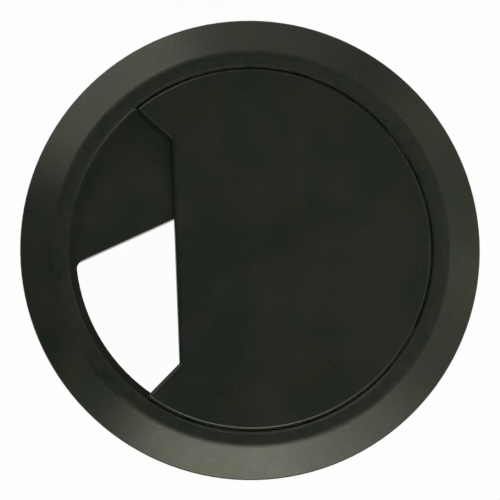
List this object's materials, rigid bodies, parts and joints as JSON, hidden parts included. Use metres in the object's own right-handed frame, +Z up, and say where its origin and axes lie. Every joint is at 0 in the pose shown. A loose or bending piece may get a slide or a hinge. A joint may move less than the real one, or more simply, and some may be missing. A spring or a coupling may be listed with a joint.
{
  "type": "desk cable grommet",
  "caption": "Round flanged liner for a desk hole with an inset cap; turning the cap's notch over the liner's shutter web opens or closes the way for cables.",
  "frame": {"origin": "centre of the sleeve in the plane of the flange's underside, which is the desk's top face", "axes": "+Z up out of the desk along the hole's axis, -X the way the cap's notch faces at rest, +Y completes the right-handed frame"},
  "size_m": [0.07, 0.07, 0.02],
  "materials": {
    "liner_plastic": "fine moulded grain, black",
    "cap_plastic": "fine moulded grain, black"
  },
  "bodies": {
    "liner": {"flanged_liner": "liner_plastic"},
    "cap": {"notched_cap": "cap_plastic"}
  },
  "joints": [
    {"name": "cap_turn", "type": "hinge", "parent": "liner", "child": "cap", "pos_m": [0, 0, 0.0015], "axis": [0, 0, 1], "continuous": true}
  ]
}
